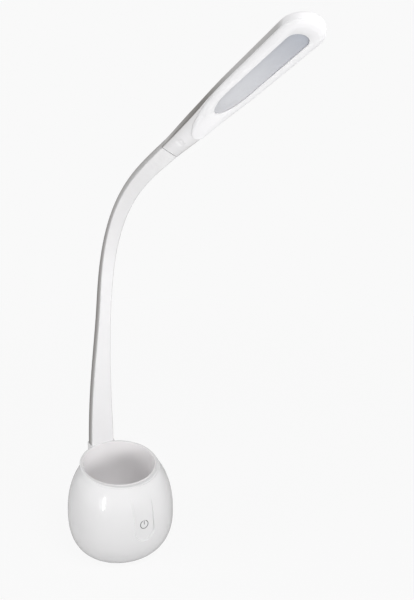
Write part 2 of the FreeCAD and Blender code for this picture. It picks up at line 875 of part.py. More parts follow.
def base_leads():
    """Leads from the plug on the driver board up into the hose."""
    joint = -hose_tail - splice_length
    along = neck_axes(joint)[1]
    start = neck_point(joint) - along
    rise = start - plug_top()
    straight = cylinder(lead_radius, rise.Length, plug_top(), rise)
    return fuse(straight, splice(neck_point(joint), along), lead_piece(joint + 1, bend_places[0] - bend_pitch / 2))


# ---------------------------------------------------------------- head sub-parts, made flat and then placed
def placed(solid):
    """Head pieces are made with Y from the seam to the tip and Z out of the lit face."""
    solid.Placement = neck_frame(neck_length).multiply(solid.Placement)
    return solid


def head_half_width(u):
    t = min(u / head_mid, 1.0)
    share = 0.5 * t + 0.25 * (1 - math.cos(math.pi * t))
    tip = head_length - head_tip_width / 2
    late = max(u - head_mid, 0.0) / (tip - head_mid)
    return neck_width / 2 + (head_mid_width - neck_width) / 2 * share + (head_tip_width - head_mid_width) / 2 * late


def thinning(u):
    return ease(u / thin_end)


def blend(a, b, t):
    return a + (b - a) * t


def under_side(u):
    return blend(neck_thickness / 2, side_half, thinning(u))


def top_side(u):
    return blend(neck_thickness / 2, side_half + crown_rise, thinning(u))


def head_section(u, inset=0.0, reach=0.0):
    """Cross-section of the cover: rounded top corners, lower corners that grow sharp along the stem."""
    a = head_half_width(u) - inset
    top = -(top_side(u) - inset)
    low = under_side(u) + reach
    r_top = max(blend(neck_corner, top_round, thinning(u)) - inset, 0.4)
    r_low = blend(neck_corner, 0.3, thinning(u))
    k = 1 - math.sqrt(0.5)
    corners = []
    for sx, z, r, up in ((1, top, r_top, 1), (1, low, r_low, -1), (-1, low, r_low, -1), (-1, top, r_top, 1)):
        flat = Vector(sx * (a - r), u, z)
        mid = Vector(sx * (a - r * k), u, z + up * r * k)
        side = Vector(sx * a, u, z + up * r)
        corners.append((flat, mid, side) if (sx > 0) == (up > 0) else (side, mid, flat))
    edges = []
    for i, corner in enumerate(corners):
        edges.append(arc(*corner))
        edges.append(line(corner[2], corners[(i + 1) % 4][0]))
    return Part.Wire(edges)


def tip_turn(wire, u):
    """Round end: half of a section turned about the head's own upright axis."""
    half = Part.Face(wire).common(box(0, big, u - 1, u + 1, -big, big))
    return half.revolve(Vector(0, u, 0), Z, 180)


def head_body(section, stations, ruled=False):
    wires = [section(u) for u in stations]
    return Part.makeLoft(wires, True, ruled).fuse(tip_turn(wires[-1], stations[-1])).removeSplitter()


def tip_centre():
    return head_length - head_tip_width / 2


def stem_stations():
    return [0, 18, 40, thin_end, head_mid, tip_centre()]


def plan(start, end, half, point, grow=0.0):
    """Slot outline seen from below: a narrowing near end and a half-round far end."""
    half += grow
    start -= grow
    end += grow
    shoulder = start + point
    near = []
    for i in range(9):
        angle = math.pi / 2 + math.pi * i / 8
        near.append(Vector(half * math.sin(angle), shoulder + point * math.cos(angle), 0))
    far = end - half
    return face([spline(near), line(near[-1], Vector(-half, far, 0)),
                 arc(Vector(-half, far, 0), Vector(0, end, 0), Vector(half, far, 0)),
                 line(Vector(half, far, 0), near[0])])


def lens_plan(grow, low, high):
    solid = plan(lens_start, lens_end, lens_width / 2, lens_point, grow).extrude(Z * (high - low))
    solid.translate(Z * low)
    return solid


def bezel_plan(grow):
    solid = plan(bezel_start, head_length + head_tip_width, head_tip_width / 2 + 1, bezel_end_length, grow).extrude(Z * big)
    solid.translate(Z * -big / 2)
    return solid


def face_height():
    return side_half + bezel_rise


def head_cover():
    stations = stem_stations()
    solid = head_body(head_section, stations)
    room = head_body(lambda u: head_section(u, cover_wall, 6), stations[1:], True)
    solid = solid.cut(room.common(bezel_plan(-cover_wall)))
    floor = -(side_half + crown_rise - cover_wall)
    ribs = [cylinder(rib_radius, led_board_low() - floor + 0.4, Vector(0, u, floor - 0.4)) for u in led_screw_places()]
    solid = fuse(solid, *ribs)
    solid = solid.cut(cylinder(bush_radius + 0.05, bezel_start + 14, Vector(0, -1, 0), Y))
    low = under_side(dimple_place) - dimple_depth
    solid = solid.cut(cylinder(dimple_radius, 5, Vector(0, dimple_place, low)))
    solid = solid.cut(cylinder(1.05, 5, Vector(0, dimple_place, low - 3)))
    for u in led_screw_places():
        solid = solid.cut(cylinder(0.65, 1.6, Vector(0, u, led_board_low() - 1.5)))
    return placed(solid)


def bezel_section(u, inset=0.0, reach=0.0):
    a = head_half_width(u) - 0.2 - inset
    low = under_side(u) + seam_gap - reach
    step = under_side(u) + seam_gap + 0.5 - inset * 0.4
    high = face_height() - inset
    inner = a - bezel_flank + inset * 0.3
    mid = Vector((a + inner) / 2 + (a - inner) * 0.14, u, (step + high) / 2 + (high - step) * 0.2)
    left = Vector(-mid.x, u, mid.z)
    return Part.Wire([line(Vector(-a, u, low), Vector(a, u, low)), line(Vector(a, u, low), Vector(a, u, step)),
                      arc(Vector(a, u, step), mid, Vector(inner, u, high)),
                      line(Vector(inner, u, high), Vector(-inner, u, high)),
                      arc(Vector(-inner, u, high), left, Vector(-a, u, step)),
                      line(Vector(-a, u, step), Vector(-a, u, low))])


def head_bezel():
    stations = stem_stations()[1:]
    solid = head_body(bezel_section, stations).common(bezel_plan(0))
    room = head_body(lambda u: bezel_section(u, bezel_wall, 3), stations, True).common(bezel_plan(-bezel_wall))
    solid = solid.cut(room).cut(lens_plan(0, 0, 10))
    return placed(solid)


def lens():
    seat = face_height() - bezel_wall
    flange = lens_plan(lens_flange, seat - lens_flange_thickness, seat)
    window = lens_plan(-0.1, seat - 0.5, face_height() - lens_sink)
    return placed(fuse(flange, window))


def led_board_low():
    return -(side_half + crown_rise - cover_wall) + 0.85


def led_screw_places():
    return [lens_start + lens_point * 0.5, lens_end - lens_width * 0.55]


def led_board():
    board = lens_plan(-led_board_gap, led_board_low(), led_board_low() + led_board_thickness)
    for u in led_screw_places():
        board = board.cut(cylinder(0.75, 4, Vector(0, u, led_board_low() - 1)))
    return placed(board)


def led_chips():
    top = led_board_low() + led_board_thickness
    first = lens_start + lens_point * 0.8
    pitch = (lens_end - lens_width * 0.8 - first) / (led_count - 1)
    chips = []
    for row in range(led_rows):
        side = (row - (led_rows - 1) / 2) * led_row_pitch
        for i in range(led_count):
            u = first + pitch * i
            chips.append(placed(box(side - led_size / 2, side + led_size / 2, u - led_size / 2, u + led_size / 2,
                                    top, top + led_height)))
    return chips


def led_screws():
    top = led_board_low() + led_board_thickness
    return [placed(screw(Vector(0, u, top), -Z, 2.2, 1.2, 0.5, 0.6)) for u in led_screw_places()]


def reflector():
    low = led_board_low() - 0.8
    high = face_height() - bezel_wall - lens_flange_thickness - 0.05
    ring = lens_plan(reflector_wall - 0.1, low, high).cut(lens_plan(-0.1, low - 1, high + 1))
    return placed(ring.cut(cylinder(lead_radius + fit_gap, lens_start + 5, Vector(), Y)))


def stem_bush():
    solid = cylinder(bush_radius, bush_length, Vector(0, seam_gap, 0), Y)
    solid = solid.cut(cylinder(hose_tip_radius + 0.05, hose_tip_length + 1, Vector(), Y))
    solid = solid.cut(cylinder(lead_radius + 0.3, bush_length + 2, Vector(), Y))
    return placed(solid.cut(cylinder(1.0, 6, Vector(0, dimple_place, 1.4))))


def stem_screw():
    low = under_side(dimple_place) - dimple_depth
    return placed(screw(Vector(0, dimple_place, low), -Z, low - 1.6, 1.9, 0.35, 0.95))


def head_leads():
    """Leads from the last bend through the stem to the LED board."""
    inside = lead_piece(neck_length - sleeve_top_length, neck_length - 1)
    straight = placed(cylinder(lead_radius, lens_start + led_board_gap - 1, Y, Y))
    return fuse(inside, splice(neck_point(neck_length), neck_axes(neck_length)[1]), straight)


def main():
    nodes = {
        "base_shell": base_shell(), "touch_icon": touch_icon(), "cup_liner": cup_liner(),
        "base_plate": base_plate(), "plate_screws": plate_screws(), "foot_pad": foot_pad(),
        "ballast_weight": ballast_weight(), "ballast_screws": ballast_screws(),
        "battery_cell": battery_cell(), "battery_holder": battery_holder(),
        "touch_board": touch_board(), "touch_board_screws": touch_board_screws(),
        "touch_contact": touch_contact(), "driver_board": driver_board(),
        "driver_board_screws": driver_board_screws(), "power_socket": power_socket(),
        "neck_anchor": neck_anchor(), "anchor_screws": anchor_screws(), "base_leads": base_leads(),
        "hose_root": hose_root(), "sleeve_boot": sleeve_boot(),
        "head_cover": head_cover(), "head_bezel": head_bezel(), "lens": lens(), "led_board": led_board(),
        "led_chips": led_chips(), "led_screws": led_screws(), "reflector": reflector(),
        "stem_bush": stem_bush(), "stem_screw": stem_screw(), "head_leads": head_leads(),
        "sleeve_top": sleeve_top(),
    }
    for i, place in enumerate(bend_places):
        start, end = place - bend_pitch / 2, place + bend_pitch / 2
        nodes[f"hose_link_{i + 1}"] = hose_link(i)
        nodes[f"neck_sleeve_{i + 1}"] = sleeve_piece(start, end)
        nodes[f"neck_lead_{i + 1}"] = lead_piece(start, end)
    os.makedirs("parts", exist_ok=True)
    for name, shape in nodes.items():
        if isinstance(shape, list):
            shape = Part.makeCompound(shape)
        shape.exportStep(f"parts/{name}.step")


if __name__ == "__main__":
    main()
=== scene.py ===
import math

import bmesh
import bpy
from mathutils import Matrix, Vector


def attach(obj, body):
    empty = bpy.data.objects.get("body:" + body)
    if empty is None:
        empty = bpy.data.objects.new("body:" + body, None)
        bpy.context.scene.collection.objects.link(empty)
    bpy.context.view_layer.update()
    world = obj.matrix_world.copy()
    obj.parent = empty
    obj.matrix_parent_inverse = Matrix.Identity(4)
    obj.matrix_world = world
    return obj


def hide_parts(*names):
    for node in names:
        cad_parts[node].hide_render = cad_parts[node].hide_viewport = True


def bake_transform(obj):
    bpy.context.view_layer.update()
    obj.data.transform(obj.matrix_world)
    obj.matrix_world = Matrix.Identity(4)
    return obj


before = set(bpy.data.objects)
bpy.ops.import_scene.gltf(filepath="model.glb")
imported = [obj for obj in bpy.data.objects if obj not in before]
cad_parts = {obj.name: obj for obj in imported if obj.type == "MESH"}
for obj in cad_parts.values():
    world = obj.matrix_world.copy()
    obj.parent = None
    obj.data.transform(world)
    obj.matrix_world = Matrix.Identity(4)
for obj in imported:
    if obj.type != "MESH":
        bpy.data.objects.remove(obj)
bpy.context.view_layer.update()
mm = 0.001


def ease(t):
    t = min(max(t, 0.0), 1.0)
    return t * t * (3 - 2 * t)


def mix(a, b, t):
    return a + (b - a) * t


# ---- camera ----
cameraSizes = {
    "place": (-0.2880, -0.6185, 0.4460),
    "yaw": math.radians(32.916),
    "pitch": math.radians(-14.334),
    "roll": math.radians(-0.387),
    "lens": 42.0,
}


def addCamera(sizes):
    data = bpy.data.cameras.new("camera")
    data.lens = sizes["lens"]
    data.sensor_width = 36.0
    data.clip_start = 0.01
    camera = bpy.data.objects.new("camera", data)
    bpy.context.collection.objects.link(camera)
    yaw, pitch = sizes["yaw"], sizes["pitch"]
    ahead = Vector((math.sin(yaw) * math.cos(pitch), math.cos(yaw) * math.cos(pitch), math.sin(pitch)))
    right = Vector((math.cos(yaw), -math.sin(yaw), 0))
    up = right.cross(ahead)
    turn = Matrix((right, up, -ahead)).transposed() @ Matrix.Rotation(sizes["roll"], 3, "Z")
    camera.matrix_world = Matrix.Translation(sizes["place"]) @ turn.to_4x4()
    bpy.context.scene.camera = camera


addCamera(cameraSizes)
print("camera set")


# ---- node trees written as arithmetic ----
class Flow:
    def __init__(self, graph, socket):
        self.graph, self.socket = graph, socket

    def __add__(self, other): return self.graph.math("ADD", self, other)
    def __radd__(self, other): return self.graph.math("ADD", other, self)
    def __sub__(self, other): return self.graph.math("SUBTRACT", self, other)
    def __rsub__(self, other): return self.graph.math("SUBTRACT", other, self)
    def __mul__(self, other): return self.graph.math("MULTIPLY", self, other)
    def __rmul__(self, other): return self.graph.math("MULTIPLY", other, self)
    def __truediv__(self, other): return self.graph.math("DIVIDE", self, other)


class Graph:
    def __init__(self, tree):
        self.tree = tree

    def node(self, kind, settings=None, values=None):
        made = self.tree.nodes.new(kind)
        for name, value in (settings or {}).items():
            if name == "stops":
                while len(made.color_ramp.elements) < len(value):
                    made.color_ramp.elements.new(0.5)
                for stop, (place, colour) in zip(made.color_ramp.elements, value):
                    stop.position, stop.color = place, (*colour, 1)
            else:
                setattr(made, name, value)
        for name, value in (values or {}).items():
            socket = made.inputs[name]
            if isinstance(value, Flow):
                self.tree.links.new(value.socket, socket)
            else:
                socket.default_value = value
        return made

    def flow(self, kind, settings=None, values=None, output=0):
        return Flow(self, self.node(kind, settings, values).outputs[output])

    def math(self, operation, a, b=0.0, clamp=False):
        return self.flow("ShaderNodeMath", {"operation": operation, "use_clamp": clamp}, {0: a, 1: b})

    def vector(self, operation, a, b=(0, 0, 0), output=0):
        return self.flow("ShaderNodeVectorMath", {"operation": operation}, {0: a, 1: b}, output)


# ---- materials ----
def newMaterial(name, constants):
    material = bpy.data.materials.new(name)
    material.use_nodes = True
    shader = material.node_tree.nodes["Principled BSDF"]
    for socket, value in constants.items():
        shader.inputs[socket].default_value = value
    return material, Graph(material.node_tree), shader


def mixColours(graph, factor, a, b):
    values = {0: factor, 6: a if isinstance(a, Flow) else (*a, 1), 7: (*b, 1)}
    return graph.flow("ShaderNodeMix", {"data_type": "RGBA"}, values, 2)


# painted shade: the dark colour given to the narrow sides of neck and head, where they turn away from the light
sideShadeTone = (0.10, 0.089, 0.077)     # of the narrow sides of neck and head


# mixes the painted shade into a colour, as much as the 'side' attribute gives
def withPaintedShade(graph, colour):
    share = graph.flow("ShaderNodeAttribute", {"attribute_name": "side"}, output=2)
    return mixColours(graph, share, colour, sideShadeTone)


def objectPlace(graph):
    return graph.flow("ShaderNodeTexCoord", output=3)


def noise(graph, scale, detail=2.0, rough=0.5, stretch=(1, 1, 1)):
    place = graph.flow("ShaderNodeMapping", values={"Vector": objectPlace(graph), "Scale": stretch})
    return graph.flow("ShaderNodeTexNoise",
                      values={"Vector": place, "Scale": scale, "Detail": detail, "Roughness": rough})


def finish(graph, shader, colour=None, rough=None, height=None, strength=0.1, distance=0.0002):
    links = graph.tree.links
    if colour:
        links.new(colour.socket, shader.inputs["Base Color"])
    if rough:
        links.new(rough.socket, shader.inputs["Roughness"])
    if height:
        bump = graph.flow("ShaderNodeBump", values={"Strength": strength, "Distance": distance, "Height": height})
        links.new(bump.socket, shader.inputs["Normal"])


plasticSizes = {
    "shellWhite": {"light": (0.80, 0.795, 0.80), "deep": (0.765, 0.76, 0.765), "rough": 0.17, "coat": 0.4,
                   "grain": 900, "strength": 0.03},
    "cupWhite": {"light": (0.83, 0.815, 0.82), "deep": (0.80, 0.785, 0.79), "rough": 0.24, "coat": 0.25,
                 "grain": 900, "strength": 0.03},
    "headWhite": {"light": (0.82, 0.815, 0.825), "deep": (0.79, 0.785, 0.795), "rough": 0.3, "coat": 0.15,
                  "grain": 1200, "strength": 0.04},
    "iconGrey": {"light": (0.10, 0.10, 0.105), "deep": (0.08, 0.08, 0.085), "rough": 0.4, "coat": 0.0,
                 "grain": 1500, "strength": 0.05},
    "blackPlastic": {"light": (0.03, 0.03, 0.032), "deep": (0.02, 0.02, 0.022), "rough": 0.5, "coat": 0.0,
                     "grain": 1400, "strength": 0.15},
    "cellWrap": {"light": (0.03, 0.16, 0.12), "deep": (0.02, 0.12, 0.09), "rough": 0.35, "coat": 0.3,
                 "grain": 600, "strength": 0.05},
    "boardGreen": {"light": (0.02, 0.10, 0.05), "deep": (0.01, 0.07, 0.035), "rough": 0.35, "coat": 0.4,
                   "grain": 1600, "strength": 0.12},
    "boardWhite": {"light": (0.72, 0.72, 0.70), "deep": (0.66, 0.66, 0.64), "rough": 0.35, "coat": 0.3,
                   "grain": 1600, "strength": 0.08},
    "ledYellow": {"light": (0.85, 0.66, 0.20), "deep": (0.75, 0.55, 0.14), "rough": 0.3, "coat": 0.5,
                  "grain": 2500, "strength": 0.08},
    "leadBlack": {"light": (0.03, 0.03, 0.032), "deep": (0.022, 0.022, 0.024), "rough": 0.45, "coat": 0.0,
                  "grain": 1800, "strength": 0.1},
}


def mouldedPlastic(name, sizes):
    material, graph, shader = newMaterial(name, {"Coat Weight": sizes["coat"], "Coat Roughness": 0.08, "IOR": 1.49})
    cloud = noise(graph, 14, 3)
    grain = noise(graph, sizes["grain"], 2, 0.6)
    wipe = noise(graph, 45, 4, 0.6, (1, 1, 2.5))
    colour = mixColours(graph, cloud, sizes["light"], sizes["deep"])
    finish(graph, shader, withPaintedShade(graph, colour) if name == "headWhite" else colour,
           wipe * 0.06 + grain * 0.03 + (sizes["rough"] - 0.045), grain, sizes["strength"])
    return material


def softSilicone():
    material, graph, shader = newMaterial("softWhite", {"IOR": 1.41, "Sheen Weight": 0.08, "Sheen Roughness": 0.5})
    cloud = noise(graph, 25, 3)
    powder = noise(graph, 2600, 2, 0.7)
    dust = noise(graph, 320, 3, 0.6)
    colour = mixColours(graph, cloud, (0.86, 0.855, 0.865), (0.83, 0.825, 0.83))
    finish(graph, shader, withPaintedShade(graph, colour),
           dust * 0.10 + powder * 0.06 + 0.44, powder * 0.7 + dust * 0.3, 0.04)
    return material


# painted shade: the lens colour darkens from its near end to its far end
lensShadeSizes = {"near": (0.585, 0.59, 0.615), "far": (0.33, 0.35, 0.40), "start": -0.185, "end": -0.290, "fall": 2.5}


def frostedLens(sizes):
    material, graph, shader = newMaterial("lensFrost", {"IOR": 1.49, "Coat Weight": 0.2, "Coat Roughness": 0.15})
    place = graph.node("ShaderNodeSeparateXYZ", values={0: objectPlace(graph)})
    along = graph.flow("ShaderNodeMapRange", values={
        "Value": Flow(graph, place.outputs[1]), "From Min": sizes["start"], "From Max": sizes["end"]})
    frost = noise(graph, 1800, 3, 0.6)
    # painted shade along the lens, stronger towards the far end
    share = graph.math("POWER", along, sizes["fall"])
    finish(graph, shader, mixColours(graph, share, sizes["near"], sizes["far"]), frost * 0.12 + 0.34, frost, 0.1)
    return material


metalSizes = {
    "zincSteel": {"light": (0.62, 0.62, 0.61), "deep": (0.48, 0.48, 0.47), "rough": 0.32, "scratch": (1, 1, 1)},
    "hoseSteel": {"light": (0.45, 0.45, 0.45), "deep": (0.33, 0.33, 0.33), "rough": 0.4, "scratch": (1, 1, 6)},
    "brightSteel": {"light": (0.72, 0.72, 0.72), "deep": (0.62, 0.62, 0.62), "rough": 0.22, "scratch": (6, 1, 1)},
    "springBronze": {"light": (0.72, 0.50, 0.24), "deep": (0.58, 0.38, 0.17), "rough": 0.3, "scratch": (1, 1, 1)},
    "castIron": {"light": (0.12, 0.12, 0.12), "deep": (0.05, 0.048, 0.045), "rough": 0.6, "scratch": (1, 1, 1)},
}


def bareMetal(name, sizes):
    material, graph, shader = newMaterial(name, {"Metallic": 1.0})
    patches = noise(graph, 120, 4, 0.6)
    scratches = noise(graph, 1500, 3, 0.7, sizes["scratch"])
    finish(graph, shader, mixColours(graph, patches, sizes["light"], sizes["deep"]),
           scratches * 0.16 + (sizes["rough"] - 0.08), scratches, 0.15)
    return material


def footRubber():
    material, graph, shader = newMaterial("footRubber", {"IOR": 1.5})
    pores = noise(graph, 1800, 3, 0.7)
    bloom = noise(graph, 60, 4)
    finish(graph, shader, mixColours(graph, bloom, (0.022, 0.022, 0.023), (0.045, 0.045, 0.046)),
           bloom * 0.15 + 0.62, pores, 0.3)
    return material


materials = {name: mouldedPlastic(name, sizes) for name, sizes in plasticSizes.items()}
materials.update({name: bareMetal(name, sizes) for name, sizes in metalSizes.items()})
materials["softWhite"] = softSilicone()
materials["lensFrost"] = frostedLens(lensShadeSizes)
materials["footRubber"] = footRubber()
print("materials made:", len(materials))

nodeFinishes = {
    "base_shell": "shellWhite", "base_plate": "shellWhite", "cup_liner": "cupWhite", "touch_icon": "iconGrey",
    "foot_pad": "footRubber", "ballast_weight": "castIron", "battery_cell": "cellWrap",
    "battery_holder": "blackPlastic", "touch_board": "boardGreen", "driver_board": "boardGreen",
    "touch_contact": "springBronze", "power_socket": "brightSteel", "neck_anchor": "blackPlastic",
    "base_leads": "leadBlack", "head_leads": "leadBlack", "hose_root": "hoseSteel", "sleeve_boot": "softWhite",
    "sleeve_top": "softWhite", "head_cover": "headWhite", "head_bezel": "headWhite", "reflector": "headWhite",
    "lens": "lensFrost", "led_board": "boardWhite", "led_chips": "ledYellow", "stem_bush": "blackPlastic",
    "stem_screw": "headWhite",
}
namedStarts = {"hose_link": "hoseSteel", "neck_sleeve": "softWhite", "neck_lead": "leadBlack"}


def dressNodes():
    for name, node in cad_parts.items():
        start = name.rsplit("_", 1)[0]
        finishName = nodeFinishes.get(name) or namedStarts.get(start) or "zincSteel"
        for place in node.material_slots:
            place.material = materials[finishName]


dressNodes()


# ---- mesh helpers ----
def makePiece(name, points, faces, material, sharpAngle=35):
    mesh = bpy.data.meshes.new(name)
    mesh.from_pydata([tuple(p) for p in points], [], faces)
    body = bmesh.new()
    body.from_mesh(mesh)
    bmesh.ops.remove_doubles(body, verts=body.verts, dist=1e-6)
    bmesh.ops.recalc_face_normals(body, faces=body.faces)
    for edge in body.edges:
        edge.smooth = len(edge.link_faces) == 2 and edge.calc_face_angle(0) < math.radians(sharpAngle)
    for side in body.faces:
        side.smooth = True
    body.to_mesh(mesh)
    body.free()
    mesh.materials.append(materials[material])
    piece = bpy.data.objects.new(name, mesh)
    bpy.context.collection.objects.link(piece)
    return piece


def gridFaces(rows, columns, wrapRows=False, wrapColumns=False):
    faces = []
    for i in range(rows if wrapRows else rows - 1):
        for j in range(columns if wrapColumns else columns - 1):
            a, b = i % rows, (i + 1) % rows
            c, d = j % columns, (j + 1) % columns
            faces.append((a * columns + c, a * columns + d, b * columns + d, b * columns + c))
    return faces


def smoothCopy(node, name, material):
    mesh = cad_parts[node].data.copy()
    piece = makePiece(name, [v.co for v in mesh.vertices], [tuple(p.vertices) for p in mesh.polygons], material)
    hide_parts(node)
    return piece


# ---- base ----
eggSizes = {
    "belly": 56.0, "bellyHeight": 42.0, "foot": 29.6, "footPower": 2.42, "crown": 73.0, "crownPower": 2.3,
    "collarStart": 98.0, "collar": 41.0, "blendStart": 86.0, "low": 3.0, "mouth": 97.0, "slope": math.radians(9.0),
    "wall": 1.8, "edge": 1.2, "bore": 39.25, "lipDepth": 2.0, "wallDrop": 3.0, "rowStep": 1.4, "around": 96,
    "panelHalf": 11.0, "panelLow": 33.5, "panelTop": 88.0, "panelDepth": 1.7, "panelEdge": 0.9,
    "frontHalf": 13.0, "frontStep": 0.35, "fineLow": 31.0, "fineHigh": 47.0,
}


def eggRadius(z, s=eggSizes):
    if z < s["bellyHeight"]:
        rise = 1 - (1 - z / s["bellyHeight"]) ** s["footPower"]
        return s["foot"] + (s["belly"] - s["foot"]) * math.sqrt(max(rise, 0))
    if z > s["collarStart"]:
        return s["collar"]
    climbed = (min(z, s["blendStart"]) - s["bellyHeight"]) / s["crown"]
    plain = s["belly"] * math.sqrt(1 - climbed ** s["crownPower"])
    if z <= s["blendStart"]:
        return plain
    span = s["collarStart"] - s["blendStart"]
    t = (z - s["blendStart"]) / span
    fall = (plain - eggRadius(s["blendStart"] - 0.1)) * 10 * span
    cubed = t ** 3
    plainShare, collarShare = 2 * cubed - 3 * t ** 2 + 1, 3 * t ** 2 - 2 * cubed
    return plain * plainShare + s["collar"] * collarShare + fall * (cubed - 2 * t ** 2 + t)


def panelDip(x, z, s=eggSizes):
    middle = s["panelLow"] + s["panelHalf"]
    inside = s["panelHalf"] - (abs(x) if z > middle else math.hypot(x, z - middle))
    fade = ease((s["panelTop"] - z) / (0.7 * (s["panelTop"] - s["panelLow"])))
    return s["panelDepth"] * fade * ease(inside / s["panelEdge"] + 0.35)


def mouthHeight(y, s=eggSizes):
    return s["mouth"] + y * math.tan(s["slope"])


def eggRows(s=eggSizes):
    rows = [s["low"] + i * s["rowStep"] for i in range(20)]
    z = rows[-1]
    while z < s["mouth"] - 1e-6:
        z += s["frontStep"] if s["fineLow"] < z < s["fineHigh"] else s["rowStep"]
        rows.append(min(z, s["mouth"]))
    return rows


def eggColumns(s=eggSizes):
    count = int(s["frontHalf"] / s["frontStep"])
    front = [s["frontHalf"] * i / count for i in range(-count, count + 1)]
    return front, s["around"]


def skinPoint(z, column, depth, s=eggSizes):
    front, around = eggColumns(s)
    top = z
    for _ in range(3):
        radius = eggRadius(top)
        reach = math.asin(s["frontHalf"] / radius)
        if column < len(front):
            angle = math.asin(front[column] / radius)
        else:
            angle = reach + (2 * math.pi - 2 * reach) * (column - len(front) + 1) / (around + 1)
        y = -radius * math.cos(angle)
        over = max(z - s["blendStart"], 0) / (s["mouth"] - s["blendStart"])
        top = z + over * (mouthHeight(y) - s["mouth"])
    x = radius * math.sin(angle)
    if abs(angle) < math.pi / 2:
        radius -= panelDip(x, top)
    radius = s["bore"] if depth is None else radius - depth
    return Vector((radius * math.sin(angle), -radius * math.cos(angle), top)) * mm


def makeShell(s=eggSizes):
    rows = eggRows()
    columns = len(eggColumns()[0]) + eggColumns()[1]
    edge = s["edge"]
    rings = [(z, 0.0, 0.0) for z in rows if z < s["mouth"] - edge - 0.2]
    rings += [(rows[-1], edge * (1 - math.cos(a)), edge * (math.sin(a) - 1))
              for a in (0, 0.3, 0.6, 0.9, 1.2, math.pi / 2)]
    rings += [(rows[-1], None, 0.0), (rows[-1], None, -s["lipDepth"])]
    rings += [(z, s["wall"], 0.0) for z in reversed(rows) if z < s["mouth"] - s["wallDrop"]]
    points = []
    for z, depth, drop in rings:
        for column in range(columns):
            points.append(skinPoint(z, column, depth) + Vector((0, 0, drop * mm)))
    return makePiece("baseShell", points, gridFaces(len(rings), columns, True, True), "shellWhite")


baseShell = makeShell()
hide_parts("base_shell")
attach(baseShell, "base")
print("shell made")

cupSizes = {"mouth": 37.8, "floor": 33.6, "floorHeight": 46.0, "wall": 1.2, "gap": 0.2, "corner": 6.0,
            "columns": 128, "round": 0.5, "lipDrop": 0.8, "seat": 0.02}


def makeCup(s=cupSizes):
    slope = (s["mouth"] - s["floor"]) / (eggSizes["mouth"] - s["floorHeight"])
    inner = [(0.0, s["floorHeight"], 0)]
    inner += [(s["floor"] - s["corner"] + s["corner"] * math.sin(a) + 0.4 * (1 - math.cos(a)),
               s["floorHeight"] + s["corner"] * (1 - math.cos(a)), 0) for a in [i * math.pi / 16 for i in range(9)]]
    for i in range(1, 9):
        z = mix(s["floorHeight"] + s["corner"], eggSizes["mouth"], i / 8)
        inner.append((s["floor"] + slope * (z - s["floorHeight"]), z, i / 8))
    top, bore = eggSizes["mouth"], s["mouth"] + s["wall"] + s["gap"]
    lip = [(s["mouth"] + s["round"] * (1 - math.cos(a)), top + s["round"] * (math.sin(a) - 1), 1)
           for a in [i * math.pi / 12 for i in range(7)]]
    lip += [(bore + s["seat"], top, 1), (bore + s["seat"], top - s["lipDrop"], 1)]
    outer = [(r + s["wall"], z - (1.0 if i == 0 else 0), t) for i, (r, z, t) in enumerate(reversed(inner[9:]))]
    under = s["floorHeight"] - s["wall"]
    outer += [(s["floor"] - s["corner"] + s["wall"], under, 0), (0.0, under, 0)]
    rings = inner[:-1] + lip + outer
    points = []
    for radius, z, share in rings:
        for j in range(s["columns"]):
            angle = 2 * math.pi * j / s["columns"]
            y = -radius * math.cos(angle)
            points.append(Vector((radius * math.sin(angle), y, z + share * y * math.tan(eggSizes["slope"]))) * mm)
    return makePiece("penCup", points, gridFaces(len(rings), s["columns"], False, True), "cupWhite", 50)


penCup = makeCup()
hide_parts("cup_liner")
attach(penCup, "base")
for node, name, material in (("base_plate", "basePlate", "shellWhite"), ("foot_pad", "footPad", "footRubber")):
    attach(smoothCopy(node, name, material), "base")
print("cup, plate and foot made")

# ---- neck ----
neckSizes = {
    "length": 397.0, "rootBack": 44.2, "rootWidth": 26.6, "width": 15.0, "thickness": 9.0, "corner": 1.3,
    "taperEnd": 0.45, "waist": 0.9, "rootLean": 3.1, "lowLean": 11.6, "topLean": 65.25,
    "lowBend": 146.0, "topStart": 158.0, "topBend": 222.6, "roll": 37.0,
    "bends": 6, "firstBend": 40.0, "pitch": 60.0, "boot": 20.0, "tail": 42.0, "lead": 0.9, "headGap": 0.75,
}
# how far the painted shade covers the sleeve: at the front and back of its sides, and on its front high up
sleeveShadeSpread = {"front": 0.45, "back": 0.95, "highBack": 0.75, "highFace": 0.13, "highStart": 180.0, "highSpan": 160.0}


def leanAt(s, n=neckSizes):
    low = (n["lowLean"] - n["rootLean"]) * ease(s / n["lowBend"])
    top = (n["topLean"] - n["lowLean"]) * ease((s - n["topStart"]) / n["topBend"])
    return math.radians(n["rootLean"] + low + top)


def neckPoint(s, n=neckSizes):
    steps = max(int(abs(s)), 1)
    point = Vector((0, n["rootBack"], eggSizes["mouth"]))
    for i in range(steps):
        lean = leanAt(s * (i + 0.5) / steps)
        point += Vector((0, -math.sin(lean), math.cos(lean))) * (s / steps)
    return point


def rolledAxes(s, roll):
    lean = leanAt(s)
    along = Vector((0, -math.sin(lean), math.cos(lean)))
    front = Vector((0, -math.cos(lean), -math.sin(lean)))
    across = Vector((1, 0, 0)) * math.cos(roll) + front * math.sin(roll)
    return across, along, across.cross(along)


def neckAxes(s, n=neckSizes):
    share = (s / n["length"] - n["taperEnd"]) / (1 - n["taperEnd"])
    return rolledAxes(s, math.radians(n["roll"]) * min(max(share, 0), 1))


def neckCurve(n=neckSizes):
    low, step = -n["tail"], 3.0
    count = int((n["length"] - low) / step) + 2
    data = bpy.data.curves.new("neckLine", "CURVE")
    data.dimensions = "3D"
    spline = data.splines.new("POLY")
    spline.points.add(count - 1)
    for i, point in enumerate(spline.points):
        point.co = (*(neckPoint(low + i * step) * mm), 1)
    line = bpy.data.objects.new("neckLine", data)
    bpy.context.collection.objects.link(line)
    return line


def addInputs(tree, inputs):
    for name, kind in inputs.items():
        tree.interface.new_socket(name, in_out="INPUT", socket_type="NodeSocket" + kind)
    tree.interface.new_socket("Geometry", in_out="OUTPUT", socket_type="NodeSocketGeometry")


